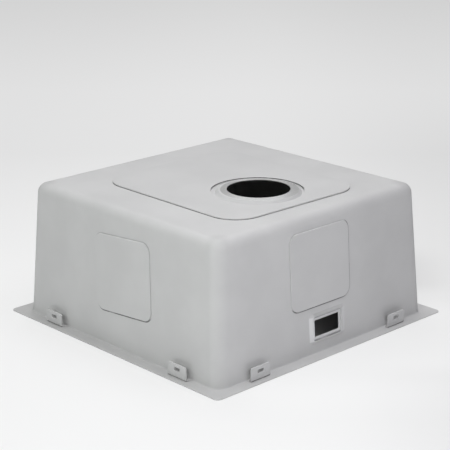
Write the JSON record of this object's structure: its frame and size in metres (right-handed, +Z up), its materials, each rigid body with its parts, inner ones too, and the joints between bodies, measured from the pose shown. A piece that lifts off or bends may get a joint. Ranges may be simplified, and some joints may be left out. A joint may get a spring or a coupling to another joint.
{
  "type": "kitchen sink",
  "caption": "Square single-bowl kitchen sink with a flat rim, a drain for a basket strainer, an overflow window, sound-deadening pads and clip lugs.",
  "frame": {"origin": "centre of the square rim, on the face that the rim stands on when the sink lies upside down", "axes": "+Z up, out of the drain; -Y to the rear wall with the overflow; +X to the right wall as seen from the rear"},
  "size_m": [0.45, 0.45, 0.2035],
  "materials": {
    "coated_steel": "matt sprayed anti-condensation coat over stainless steel",
    "pad": "bitumen pad under the same matt sprayed coat",
    "lug_steel": "steel strip under the same matt sprayed coat"
  },
  "bodies": {
    "root": {"bowl": "coated_steel", "bottom_pad": "pad", "rear_pad": "pad", "left_pad": "pad", "front_pad": "pad", "right_pad": "pad", "rear_left_lug": "lug_steel", "rear_right_lug": "lug_steel", "left_rear_lug": "lug_steel", "left_front_lug": "lug_steel", "front_left_lug": "lug_steel", "front_right_lug": "lug_steel", "right_rear_lug": "lug_steel", "right_front_lug": "lug_steel"}
  },
  "joints": []
}
